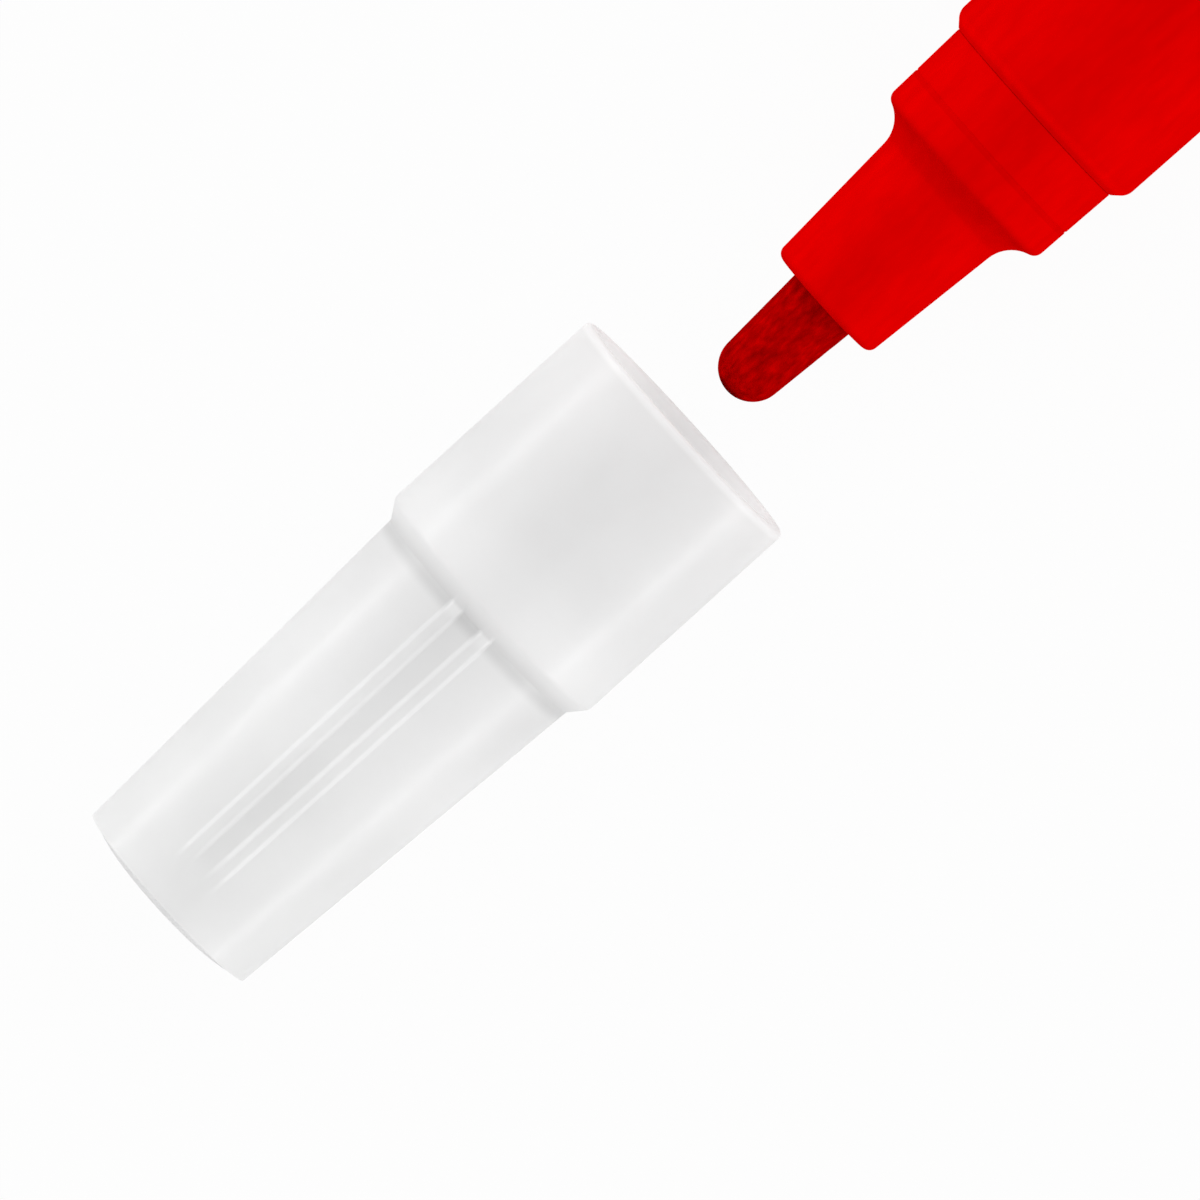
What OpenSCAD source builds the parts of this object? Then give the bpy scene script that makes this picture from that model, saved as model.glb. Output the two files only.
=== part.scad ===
// Paint marker with a pump valve, lying on its side with its cap drawn off in line with the nib.
// Millimetres, +Z up. +X runs along the marker's axis, from the cap to the tail.
// The origin lies on the surface that the marker rests on, below the middle of its length.
// Every piece is turned about the axis and is placed by its distance behind the barrel's shoulder.

/* [Nib] */
// Diameter of the nib where it enters the nose
nib_d = 5; // [4.4:0.1:5.2]
// Diameter of the nib's rounded tip
nib_tip_d = 4.35; // [3.6:0.05:4.4]
// How far the nib stands out of the nose
nib_reach = 8; // [6:0.1:8.4]
// How far the nib is pressed in to open the valve
nib_stroke = 2; // [1:0.1:2.4]

/* [Front holder] */
// Length of the slim nose, from its front to the steepest place of the fillet
nose_len = 11.45; // [10.5:0.05:12]
// Diameter of the nose at its front
nose_front_d = 8.45; // [7.8:0.05:8.6]
// Diameter of the nose where its fillet starts
nose_rear_d = 9.55; // [9:0.05:10.2]
// Radius of the hollow fillet between the nose and the collar
nose_fillet = 2.3; // [1.5:0.05:2.4]
// Radius of the nose's front edge
nose_edge = 0.6; // [0.2:0.05:0.8]
// Length of the collar that the cap seals on
collar_len = 6.15; // [5.6:0.05:7]
// Diameter of the collar at its front
collar_front_d = 13.5; // [13:0.05:13.6]
// Diameter of the collar at the barrel
collar_rear_d = 13.8; // [13.5:0.05:14]
// Radius of the collar's front edge
collar_edge = 0.7; // [0.3:0.05:0.8]
// Distance of the fine line behind the collar's front
line_back = 2.55; // [1.5:0.05:4.5]
// Width of the fine line
line_w = 0.2; // [0.15:0.05:0.5]
// Depth of the fine line
line_depth = 0.06; // [0.05:0.01:0.2]
// Length of the snap bead on the plug, behind the barrel's neck
snap_len = 1.5; // [1.2:0.1:3]

/* [Barrel] */
// Diameter of the barrel at its shoulder
shoulder_d = 15.4; // [15.2:0.1:16]
// Height of the shoulder's slope and rounded edge together
shoulder_drop = 0.75; // [0.5:0.05:0.8]
// Radius of the shoulder's rounded edge
shoulder_edge = 1.05; // [0.5:0.05:1.2]
// Diameter of the barrel's straight rear part
barrel_d = 17.5; // [17:0.1:19]
// Length of the barrel
barrel_len = 113; // [95:1:130]
// Length of the tapered front part of the barrel
taper_len = 75; // [45:1:85]
// Thickness of the barrel around the holder's plug
neck_wall = 1.4; // [1.2:0.05:1.6]
// Length of the neck that grips the holder's plug
neck_len = 9; // [7:0.1:9.4]
// Thickness of the barrel around the tail plug
tail_seat_wall = 1.25; // [1:0.05:1.6]
// Radius of the barrel's rear edge
barrel_edge = 0.4; // [0.1:0.05:0.45]

/* [Tail plug] */
// How far the head's edge lies inside the barrel's outline
tail_inset = 0.6; // [0.5:0.05:0.9]
// Thickness of the tail plug's head
tail_head_t = 1.8; // [1.6:0.1:3]
// Radius of the head's rear edge
tail_edge = 0.6; // [0.2:0.05:1]
// Length of the plug inside the barrel
tail_plug_len = 8; // [6:0.1:12]
// Thickness of the plug's wall
tail_wall = 1.2; // [0.8:0.05:2]
// Diameter of the shallow dish in the rear face
dish_d = 9; // [4:0.1:12]
// Depth of the dish
dish_depth = 0.4; // [0.1:0.05:0.6]

/* [Valve] */
// Distance of the chamber's front ledge ahead of the shoulder
chamber_lead = 3.2; // [2.6:0.1:4]
// Thickness of the soft valve seat
seat_t = 1.6; // [1.2:0.1:2]
// Diameter of the stem's pin and guide rod
stem_d = 2.2; // [1.8:0.1:2.4]
// Room for paint around the pin in the valve seat
seat_flow = 0.5; // [0.3:0.05:0.8]
// How far the stem's sealing head reaches past the spring
head_land = 0.65; // [0.4:0.05:0.9]
// Room for paint around the sealing head in the valve case
case_flow = 0.8; // [0.5:0.05:1]
// Thickness of the stem's sealing head
stem_head_t = 1.2; // [0.8:0.1:1.6]
// Thickness of the valve case's wall
case_wall = 1.05; // [0.8:0.05:1.2]
// How far the case's flange reaches over the holder's rear end
flange_land = 0.9; // [0.5:0.05:1.2]
// Thickness of that flange
case_flange_t = 0.8; // [0.5:0.1:1.4]
// Thickness of the spring retainer
retainer_t = 1.4; // [0.8:0.1:1.6]
// Diameter of each paint hole in the retainer
flow_hole_d = 1.5; // [0.8:0.1:1.6]
// Room between the stem's rod and the spring
coil_gap = 0.6; // [0.3:0.05:0.8]
// Diameter of the spring's wire
wire_d = 0.45; // [0.3:0.05:0.55]
// Number of turns in the spring
coil_turns = 6.5; // [4:0.5:7]

/* [Mixing ball] */
// Diameter of the steel ball
ball_d = 8; // [5:0.1:9]

/* [Cap] */
// Room ahead of the nib's tip in the closed cap
nib_room = 1.1; // [0.4:0.1:4]
// Thickness of the skirt's wall at its mouth
skirt_wall = 0.9; // [0.8:0.05:1.2]
// Length of the skirt
skirt_len = 17.3; // [15:0.05:17.5]
// Thickness of the cap's wall around the collar
seat_wall = 1.05; // [0.9:0.05:1.15]
// Room around the inner cap at the closed end
liner_room = 0.25; // [0.2:0.05:0.6]
// Thickness of the slim body's wall
cap_wall = 1.1; // [0.8:0.05:1.3]
// Thickness of the closed end
cap_end_wall = 1.2; // [0.8:0.05:1.4]
// Width of the closed end's rounded edge
cap_end_round = 4; // [1:0.1:4.5]
// Length of the closed end's rounded edge along the axis
cap_end_rise = 1.1; // [0.3:0.05:1.3]
// Length of the sloped step along the axis
step_run = 1.15; // [0.6:0.05:1.4]
// Radius of the rounded edge at the top of the step
step_edge = 0.8; // [0.2:0.05:1]
// Radius of the edge around the mouth
rim_edge = 0.35; // [0.1:0.05:0.4]
// Distance of the inner ledge from the outer step, towards the mouth
ledge_back = 1.9; // [1.4:0.05:2.2]
// Clearance of the closed cap around the collar and the barrel
cap_gap = 0.1; // [0.05:0.01:0.2]
// Distance of the mouth ahead of the nib's tip, as shown
cap_off = 3.4; // [0.5:0.1:40]

/* [Cap ribs] */
// Width of each rib
rib_w = 1.3; // [0.6:0.05:1.6]
// Height of the ribs above the slim body
rib_h = 0.25; // [0.15:0.05:0.6]
// Angle between the two ribs
rib_angle = 18.2; // [12:0.1:60]
// Distance of the ribs' start from the closed end
rib_start = 2.7; // [1.5:0.1:10]
// Length over which the ribs rise to their full height
rib_ramp = 3; // [0.5:0.1:4]

/* [Inner cap] */
// Height of the sealing lip inside the inner cap's bore
lip_h = 0.2; // [0.1:0.05:0.4]
// Thickness of the inner cap's tube
liner_wall = 0.8; // [0.5:0.05:0.9]
// Thickness of the inner cap's floor
liner_floor = 0.8; // [0.5:0.05:0.9]
// How far the sealing lip reaches along the nose
lip_grip = 4.2; // [2:0.1:6]
// Length of the sealing lip at its mouth
lip_len = 1.2; // [0.6:0.1:2]

/* [Hidden] */
// Facets of the round forms where they are drawn as a mesh
$fn = 96;
// Steps in each rounded edge
arc_steps = 8;
// Clearance of a piece that is pressed or snapped into another
fit_gap = 0.05;
// Clearance of a piece that slides in another
slide_gap = 0.1;
// Distance that is left between the closed cap's ledge and the shoulder
close_gap = 0.2;
// How far a cut runs past the face that it opens
cut = 1;

// Radii
nib_r = nib_d / 2;
nib_bore_r = nib_r + slide_gap;
nose_front_r = nose_front_d / 2;
nose_rear_r = nose_rear_d / 2;
collar_front_r = collar_front_d / 2;
collar_rear_r = collar_rear_d / 2;
shoulder_r = shoulder_d / 2;
barrel_r = barrel_d / 2;
neck_r = shoulder_r - neck_wall;
plug_r = neck_r - fit_gap;
snap_h = 0.17;
bore_front_r = neck_r + snap_h + fit_gap;
tail_seat_r = barrel_r - tail_seat_wall;
bore_ledge = 0.15;
bore_rear_r = tail_seat_r - bore_ledge;
stem_r = stem_d / 2;
wire_r = wire_d / 2;
coil_r = stem_r + coil_gap + wire_r;
stem_head_r = coil_r + wire_r + head_land;
case_inner_r = stem_head_r + case_flow;
case_outer_r = case_inner_r + case_wall;
chamber_r = case_outer_r + fit_gap;
seat_hole_r = stem_r + seat_flow;

// Slopes where the outline rises from the nose to the collar and from the collar to the barrel
fillet_flat = 0.02;
fillet_rise = collar_front_r - nose_rear_r - fillet_flat;
fillet_turn = acos(max(0, 1 - fillet_rise / (nose_fillet + collar_edge)));
shoulder_turn = 45;
shoulder_cone = shoulder_drop - shoulder_edge * (1 - cos(shoulder_turn));
shoulder_end = shoulder_cone / tan(shoulder_turn) + shoulder_edge * sin(shoulder_turn);

// Places along the axis, behind the barrel's shoulder
plug_len = neck_len + snap_len;
collar_z = -collar_len;
nose_z = collar_z - nose_len;
fillet_z = collar_z - nose_fillet * sin(fillet_turn);
collar_full_z = collar_z + collar_edge * sin(fillet_turn);
tip_z = nose_z - nib_reach;
chamber_z = -chamber_lead;
seat_rear_z = chamber_z + seat_t;
nib_free = 1.2;
nib_rear_z = chamber_z - nib_stroke - nib_free;
head_rear_z = seat_rear_z + stem_head_t;
retainer_inset = 0.65;
retainer_rear_z = plug_len - retainer_inset;
retainer_front_z = retainer_rear_z - retainer_t;
retainer_grip = 0.25;
case_rear_z = plug_len + case_flange_t;
tail_plug_z = barrel_len - tail_plug_len;
tail_groove_w = 1;
tail_groove_front = tail_plug_z + (tail_plug_len - tail_groove_w) / 2;
tail_groove_rear = tail_groove_front + tail_groove_w;
end_z = barrel_len + tail_head_t;

// Places along the cap, from its closed end
floor_c = cap_end_wall + liner_floor;
// Moves a place on the closed cap to a place on the marker
closed_shift = tip_z - nib_room - floor_c;
ledge_c = -close_gap - closed_shift;
step_c = ledge_c - ledge_back;
cap_len = step_c + skirt_len;
liner_mouth_c = nose_z + lip_grip - closed_shift;
cap_z = tip_z - cap_off - cap_len;

// Radii of the cap and the inner cap
lip_r = nose_at(nose_z + lip_grip) + slide_gap;
liner_bore_r = lip_r + lip_h;
liner_r = liner_bore_r + liner_wall;
cap_end_r = liner_r + liner_room + cap_wall;
cap_step_r = collar_rear_r + cap_gap + seat_wall;
mouth_r = barrel_at(cap_len + closed_shift) + cap_gap;
skirt_r = mouth_r + skirt_wall;

// Slope of the cap's step
step_turn = atan2(skirt_r - cap_step_r, step_run);

// The marker lies on its widest round
axis_h = max(barrel_r, skirt_r);
shoulder_x = -(cap_z + end_z) / 2;

// Points of an oval arc about a centre
function oval(centre, radii, from, to) = [
  for (i = [0 : arc_steps])
    let (a = from + (to - from) * i / arc_steps)
    centre + [radii.x * cos(a), radii.y * sin(a)]
];

// Points of a round arc about a centre
function arc(centre, r, from, to) = oval(centre, [r, r], from, to);

// Value at x on the straight line through (x0, y0) and (x1, y1)
function on_line(x, x0, y0, x1, y1) = y0 + (y1 - y0) * (x - x0) / (x1 - x0);

// Outer radius of the barrel's taper at a place behind its shoulder
function barrel_at(z) = on_line(z, shoulder_end, shoulder_r, taper_len, barrel_r);

// Radius of the barrel's drafted bore
function bore_at(z) = on_line(z, neck_len, bore_front_r, tail_plug_z, bore_rear_r);

// Radius of the nose between its front edge and its fillet
function nose_at(z) =
  on_line(z, nose_z + nose_edge, nose_front_r, fillet_z, nose_rear_r);

// Radius of the collar
function collar_at(z) = on_line(z, collar_full_z, collar_front_r, 0, collar_rear_r);

// Outer radius of the cap's slim body at a place along the cap
function cap_at(c) = on_line(c, 0, cap_end_r, step_c, cap_step_r);

// Lays a piece that was drawn along Z down on the marker's axis
module lay(z = 0) {
  translate([shoulder_x + z, 0, axis_h])
    rotate([0, 90, 0])
      children();
}

// Turns a profile of [radius, place] points about the axis
module turned(profile) {
  rotate_extrude()
    polygon(profile);
}

// A round bar between two places on the axis
module bar(r, from, to) {
  translate([0, 0, from])
    cylinder(r = r, h = to - from);
}

// Tapered tube with a neck for the holder at its front and a seat for the plug at its tail
module barrel() {
  groove_h = 0.25;
  profile = concat(
    [
      [neck_r, 0],
      [shoulder_r - shoulder_drop, 0]
    ],
    arc([shoulder_r - shoulder_edge, shoulder_end], shoulder_edge, -shoulder_turn, 0),
    [[barrel_r, taper_len]],
    arc([barrel_r - barrel_edge, barrel_len - barrel_edge], barrel_edge, 0, 90),
    [
      [tail_seat_r, barrel_len],
      [tail_seat_r, tail_groove_rear],
      [tail_seat_r + groove_h, tail_groove_rear - groove_h],
      [tail_seat_r + groove_h, tail_groove_front + groove_h],
      [tail_seat_r, tail_groove_front],
      [tail_seat_r, tail_plug_z],
      [bore_rear_r, tail_plug_z],
      [bore_front_r, neck_len],
      [neck_r, neck_len]
    ]
  );
  color([0.72, 0.01, 0.01])
    lay()
      turned(profile);
}

// Hollow plug that snaps into the barrel's rear and closes it with a flat head
module tail_plug() {
  r = tail_seat_r - fit_gap;
  inner_r = r - tail_wall;
  head_r = barrel_r - tail_inset;
  lead_in = 0.5;
  bead_h = 0.18;
  bead_front = tail_groove_front + slide_gap;
  bead_rear = tail_groove_rear - slide_gap;
  floor_z = end_z - dish_depth - tail_wall;
  profile = concat(
    [
      [inner_r, tail_plug_z],
      [r - lead_in, tail_plug_z],
      [r, tail_plug_z + 2 * lead_in],
      [r, bead_front],
      [r + bead_h, bead_front + bead_h],
      [r + bead_h, bead_rear - bead_h],
      [r, bead_rear],
      [r, barrel_len],
      [head_r, barrel_len]
    ],
    arc([head_r - tail_edge, end_z - tail_edge], tail_edge, 0, 90),
    [
      [dish_d / 2, end_z],
      [dish_d / 2 - dish_depth, end_z - dish_depth],
      [0, end_z - dish_depth],
      [0, floor_z],
      [inner_r, floor_z]
    ]
  );
  color([0.66, 0.01, 0.01])
    lay()
      turned(profile);
}

// Air and paint channels along the holder's nib bore
module nib_channels() {
  channel_r = 0.55;
  channel_count = 4;
  pitch = 360 / channel_count;
  front_land = 2;
  for (i = [1 : channel_count])
    rotate([0, 0, (i - 1 / 2) * pitch])
      translate([nib_bore_r, 0, 0])
        bar(channel_r, nose_z + front_land, chamber_z + cut);
}

// Nose, collar and plug in one moulding, which holds the nib and the valve
module front_holder() {
  line_z = collar_z + line_back;
  line_front = line_z - line_w / 2;
  line_rear = line_z + line_w / 2;
  snap_front = neck_len + slide_gap;
  lead_in = 0.4;
  profile = concat(
    [[nib_bore_r, nose_z]],
    arc([nose_front_r - nose_edge, nose_z + nose_edge], nose_edge, -90, 0),
    arc([nose_rear_r + nose_fillet, fillet_z], nose_fillet, 180, 180 - fillet_turn),
    arc([collar_front_r - collar_edge, collar_full_z], collar_edge, -fillet_turn, 0),
    [
      [collar_at(line_front), line_front],
      [collar_at(line_z) - line_depth, line_z],
      [collar_at(line_rear), line_rear],
      [collar_rear_r, 0],
      [plug_r, 0],
      [plug_r, snap_front],
      [plug_r + snap_h, snap_front + snap_h],
      [plug_r + snap_h, plug_len - 2 * lead_in],
      [plug_r - lead_in, plug_len],
      [chamber_r, plug_len],
      [chamber_r, chamber_z],
      [nib_bore_r, chamber_z]
    ]
  );
  color([0.72, 0.01, 0.01])
    lay()
      difference() {
        turned(profile);
        nib_channels();
      }
}

// Bullet nib of bonded fibre, whose rear end pushes the valve stem
module nib() {
  tip_r = nib_tip_d / 2;
  rear_edge = 0.3;
  profile = concat(
    arc([0, tip_z + tip_r], tip_r, -90, 0),
    [
      [nib_r, nose_z],
      [nib_r, nib_rear_z - rear_edge],
      [nib_r - rear_edge, nib_rear_z],
      [0, nib_rear_z]
    ]
  );
  color([0.42, 0.005, 0.005])
    lay()
      turned(profile);
}

// Soft ring on the chamber's ledge, which the stem's head closes
module valve_seat() {
  color([0.1, 0.1, 0.1])
    lay()
      difference() {
        bar(chamber_r - fit_gap, chamber_z, seat_rear_z);
        bar(seat_hole_r, chamber_z - cut, seat_rear_z + cut);
      }
}

// Pin that the nib pushes, sealing head and rear guide rod
module valve_stem() {
  cone_len = 1;
  cone_r = seat_hole_r - slide_gap;
  rod_edge = 0.3;
  rod_rear = retainer_rear_z - rod_edge;
  profile = [
    [0, nib_rear_z],
    [stem_r, nib_rear_z],
    [stem_r, seat_rear_z - cone_len],
    [cone_r, seat_rear_z],
    [stem_head_r, seat_rear_z],
    [stem_head_r, head_rear_z],
    [stem_r, head_rear_z],
    [stem_r, rod_rear - rod_edge],
    [stem_r - rod_edge, rod_rear],
    [0, rod_rear]
  ];
  color([0.86, 0.86, 0.84])
    lay()
      turned(profile);
}

// Return spring between the stem's head and the retainer, as one unbroken tube
module valve_spring() {
  end_gap = 0.02;
  sides = 6;
  steps_per_turn = 16;
  steps = round(coil_turns * steps_per_turn);
  from = head_rear_z + wire_r + end_gap;
  to = retainer_front_z - wire_r - end_gap;
  pitch = (to - from) / coil_turns;
  centres = [
    for (i = [0 : steps])
      let (a = 360 * i / steps_per_turn)
      [coil_r * cos(a), coil_r * sin(a), from + pitch * i / steps_per_turn]
  ];
  least_gap = min([
    for (i = [0 : steps - steps_per_turn / 2])
      for (j = [i + steps_per_turn / 2 : steps])
        norm(centres[i] - centres[j]) - wire_d
  ]);
  echo(spring_least_gap = least_gap);
  points = [
    for (i = [0 : steps])
      for (k = [0 : sides - 1])
        let (a = 360 * i / steps_per_turn, b = 360 * k / sides)
        centres[i] + wire_r * [cos(b) * cos(a), cos(b) * sin(a), sin(b)]
  ];
  skin = [
    for (i = [0 : steps - 1])
      for (k = [0 : sides - 1])
        let (n = (k + 1) % sides)
        [i * sides + k, i * sides + n, (i + 1) * sides + n, (i + 1) * sides + k]
  ];
  first_end = [for (k = [sides - 1 : -1 : 0]) k];
  last_end = [for (k = [0 : sides - 1]) steps * sides + k];
  color([0.75, 0.75, 0.77])
    lay()
      polyhedron(points, concat(skin, [first_end, last_end]));
}

// Tube behind the seat, stopped on the holder's rear end by a flange, with a snap lip inside
module valve_case() {
  flange_r = chamber_r + flange_land;
  groove_r = case_inner_r + retainer_grip;
  lip_h = 0.15;
  lip_r = groove_r - lip_h;
  profile = [
    [case_inner_r, seat_rear_z],
    [case_outer_r, seat_rear_z],
    [case_outer_r, plug_len],
    [flange_r, plug_len],
    [flange_r, case_rear_z],
    [lip_r, case_rear_z],
    [lip_r, retainer_rear_z],
    [groove_r, retainer_rear_z],
    [groove_r, retainer_front_z - fit_gap],
    [case_inner_r, retainer_front_z - fit_gap]
  ];
  color([0.8, 0.8, 0.78])
    lay()
      turned(profile);
}

// Disc that snaps into the case, carries the spring and guides the stem's rod
module spring_retainer() {
  r = case_inner_r + retainer_grip - fit_gap;
  guide_r = stem_r + slide_gap;
  flow_hole_count = 4;
  flow_pitch_r = (guide_r + r) / 2;
  color([0.72, 0.72, 0.7])
    lay()
      difference() {
        bar(r, retainer_front_z, retainer_rear_z);
        bar(guide_r, retainer_front_z - cut, retainer_rear_z + cut);
        for (i = [1 : flow_hole_count])
          rotate([0, 0, 360 * i / flow_hole_count])
            translate([flow_pitch_r, 0, 0])
              bar(flow_hole_d / 2, retainer_front_z - cut, retainer_rear_z + cut);
      }
}

// Loose ball that stirs the paint, at rest in the low rear end of the drafted bore
module mixing_ball() {
  r = ball_d / 2;
  rest_gap = 0.3;
  place = tail_plug_z - r - rest_gap;
  draft = atan((bore_rear_r - bore_front_r) / (tail_plug_z - neck_len));
  drop = bore_at(place) - (r + slide_gap) / cos(draft);
  color([0.7, 0.7, 0.72])
    lay()
      translate([drop, 0, place])
        sphere(r = r);
}

// One grip rib along the top of the cap's slim body, which fades out near the closed end
module cap_rib() {
  root = 0.4;
  full = rib_start + rib_ramp;
  rear = step_c + step_run;
  side = [
    [cap_at(rib_start) - root, rib_start],
    [cap_at(rib_start), rib_start],
    [cap_at(full) + rib_h, full],
    [cap_at(rear) + rib_h, rear],
    [cap_at(rear) - root, rear]
  ];
  rotate([90, 0, 0])
    linear_extrude(height = rib_w, center = true)
      polygon(side);
}

// Cap with a wide skirt, a step and a slim tapered body with a pair of ribs
module cap_shell() {
  end_centre = [cap_at(cap_end_rise) - cap_end_round, cap_end_rise];
  step_centre = [skirt_r - step_edge, step_c + step_run + step_edge * tan(step_turn / 2)];
  lead_in = 0.25;
  relief = 0.8;
  seat_front_c = collar_z - closed_shift;
  relief_c = seat_front_c - relief;
  profile = concat(
    [[0, 0]],
    oval(end_centre, [cap_end_round, cap_end_rise], -90, 0),
    [[cap_step_r, step_c]],
    arc(step_centre, step_edge, -step_turn, 0),
    arc([skirt_r - rim_edge, cap_len - rim_edge], rim_edge, 0, 90),
    [
      [mouth_r + lead_in, cap_len],
      [mouth_r, cap_len - lead_in],
      [shoulder_r + cap_gap, ledge_c],
      [collar_rear_r + cap_gap, ledge_c],
      [collar_front_r + cap_gap, seat_front_c],
      [cap_at(relief_c) - cap_wall, relief_c],
      [cap_at(cap_end_wall) - cap_wall, cap_end_wall],
      [0, cap_end_wall]
    ]
  );
  color([0.82, 0.82, 0.8])
    lay(cap_z)
      union() {
        turned(profile);
        for (side = [-1, 1])
          rotate([0, 0, 180 + side * rib_angle / 2])
            cap_rib();
      }
}

// Inner cap on the closed end, whose lip seals around the nose
module inner_cap() {
  base_r = cap_at(cap_end_wall) - cap_wall - slide_gap;
  profile = [
    [0, cap_end_wall],
    [base_r, cap_end_wall],
    [base_r, floor_c],
    [liner_r, floor_c],
    [liner_r, liner_mouth_c],
    [lip_r, liner_mouth_c],
    [lip_r, liner_mouth_c - lip_len / 2],
    [liner_bore_r, liner_mouth_c - lip_len],
    [liner_bore_r, floor_c],
    [0, floor_c]
  ];
  color([0.9, 0.9, 0.89])
    lay(cap_z)
      turned(profile);
}

barrel();
tail_plug();
front_holder();
nib();
valve_seat();
valve_stem();
valve_spring();
valve_case();
spring_retainer();
mixing_ball();
cap_shell();
inner_cap();
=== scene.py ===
"""Dresses the paint marker with smooth pieces and materials, and sets floor, lights and camera."""

import math

import bmesh
import bpy
from mathutils import Matrix, Vector, noise


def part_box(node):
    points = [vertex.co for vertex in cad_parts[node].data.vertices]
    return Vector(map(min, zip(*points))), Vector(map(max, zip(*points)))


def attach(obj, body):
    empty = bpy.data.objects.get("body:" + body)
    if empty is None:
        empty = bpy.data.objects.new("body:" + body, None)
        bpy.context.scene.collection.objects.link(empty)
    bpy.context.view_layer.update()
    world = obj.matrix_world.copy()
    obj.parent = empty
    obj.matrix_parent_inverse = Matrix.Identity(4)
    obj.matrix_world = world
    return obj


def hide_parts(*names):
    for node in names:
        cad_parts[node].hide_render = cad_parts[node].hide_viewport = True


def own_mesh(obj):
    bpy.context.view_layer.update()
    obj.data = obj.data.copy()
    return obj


MM = 0.001

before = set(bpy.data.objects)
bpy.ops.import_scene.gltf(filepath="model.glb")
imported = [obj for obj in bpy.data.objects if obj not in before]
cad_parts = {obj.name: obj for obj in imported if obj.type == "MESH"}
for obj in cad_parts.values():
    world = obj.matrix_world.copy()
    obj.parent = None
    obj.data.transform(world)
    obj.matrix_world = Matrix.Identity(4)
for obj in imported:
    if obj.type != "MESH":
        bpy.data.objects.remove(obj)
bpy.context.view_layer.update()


def span(node):
    """Front end, rear end and half width of a CAD node, in millimetres."""
    low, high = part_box(node)
    width = max(high.y - low.y, high.z - low.z)
    return low.x / MM, high.x / MM, width / 2 / MM


# Places along X and radii that the frame gives, in millimetres
SHOULDER_X, BARREL_REAR_X, BARREL_R = span("barrel")
NOSE_X, PLUG_REAR_X, COLLAR_REAR_R = span("front_holder")
TIP_X, NIB_REAR_X, NIB_R = span("nib")
CAP_X, MOUTH_X, SKIRT_R = span("cap_shell")
LINER_X, LINER_MOUTH_X, LINER_BASE_R = span("inner_cap")
TAIL_PLUG_X, TAIL_X, TAIL_R = span("tail_plug")
SPRING_X, SPRING_REAR_X, SPRING_R = span("valve_spring")
CHAMBER_X, _, SEAT_R = span("valve_seat")
AXIS_Z = (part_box("barrel")[0].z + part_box("barrel")[1].z) / 2 / MM

# Clearances and small eased edges, in millimetres
FIT_GAP = 0.05
SLIDE_GAP = 0.1
CLOSE_GAP = 0.2
SMALL_EDGE = 0.15

# Driving sizes of the nib, the nose and the collar, in millimetres
NIB_TIP_R = 2.175
NOSE_FRONT_R = 4.225
NOSE_REAR_R = 4.775
NOSE_EDGE = 0.6
FILLET_R = 2.3
COLLAR_LEN = 6.15
COLLAR_FRONT_R = 6.75
COLLAR_EDGE = 0.7
LINE_BACK = 2.55
LINE_W = 0.2
LINE_DEPTH = 0.06

# Driving sizes of the barrel, in millimetres
SHOULDER_R = 7.7
SHOULDER_DROP = 0.75
SHOULDER_EDGE = 1.05
TAPER_LEN = 75
NECK_LEN = 9
NECK_WALL = 1.4
BORE_STEP = 0.22
TAIL_SEAT_WALL = 1.25
TAIL_LEDGE = 0.15
BARREL_EDGE = 0.4

# Driving sizes of the cap and its liner, in millimetres, and the angle between the ribs
SKIRT_LEN = 17.3
SKIRT_WALL = 0.9
LEDGE_BACK = 1.9
SEAT_WALL = 1.05
SEAT_RELIEF = 0.8
CAP_WALL = 1.1
CAP_FLOOR = 1.2
CAP_END_ROUND = 4
CAP_END_RISE = 1.1
STEP_RUN = 1.15
STEP_EDGE = 0.8
STEP_ROOT = 0.25
RIM_EDGE = 0.35
RIB_W = 1.3
RIB_H = 0.25
RIB_ANGLE = math.radians(18.2)
RIB_START = 2.7
RIB_RAMP = 3
RIB_SOFT = 0.42
LIP_GRIP = 4.2
LIP_H = 0.2
LIP_LEN = 1.2
LINER_WALL = 0.8
LINER_FLOOR = 0.8

# Driving sizes of the spring, in millimetres
WIRE_R = 0.225
COIL_TURNS = 6.5

# Offsets and lengths of the tones of the nib and the plastics, which are painted shade and painted
# light, in millimetres
TIP_SHADE_LEN = 0.6
HOLLOW_BACK = 0.65
HOLLOW_SOFT = 0.4
LINE_SHADE = 0.35
LINE_SOFT = 0.1
SHOULDER_LIP = 0.45
BODY_SHADE = 12
STEP_SHADE = 1.15
SKIRT_FADE = 7.5
RIM_HIGHLIGHT = 0.7

# Columns of points round the turned pieces
RED_COLUMNS = 160
NIB_COLUMNS = 180
LINER_COLUMNS = 96
TAIL_COLUMNS = 128

# Places and radii that follow from these
COLLAR_X = SHOULDER_X - COLLAR_LEN
FILLET_TURN = math.acos(1 - (COLLAR_FRONT_R - NOSE_REAR_R) / (FILLET_R + COLLAR_EDGE))
FILLET_X = COLLAR_X - FILLET_R * math.sin(FILLET_TURN)
COLLAR_FULL_X = COLLAR_X + COLLAR_EDGE * math.sin(FILLET_TURN)
LINE_X = COLLAR_X + LINE_BACK
NECK_R = SHOULDER_R - NECK_WALL
TAIL_SEAT_R = BARREL_R - TAIL_SEAT_WALL
STEP_X = MOUTH_X - SKIRT_LEN
LEDGE_X = STEP_X + LEDGE_BACK
CAP_STEP_R = COLLAR_REAR_R + SLIDE_GAP + SEAT_WALL

# Share of the light that the cap's plastic lets through at each face
MILKY_SHARE = 0.45

# Values between which most of a noise lies
NOISE_LOW = 0.3
NOISE_HIGH = 0.7

# Middle of the photographed part
AIM_X = -61.05
AIM_Y = -4.31
AIM = Vector((AIM_X, AIM_Y, AXIS_Z)) * MM


def smooth(t):
    """Soft step from 0 to 1."""
    t = min(max(t, 0), 1)
    return t * t * (3 - 2 * t)


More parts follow.
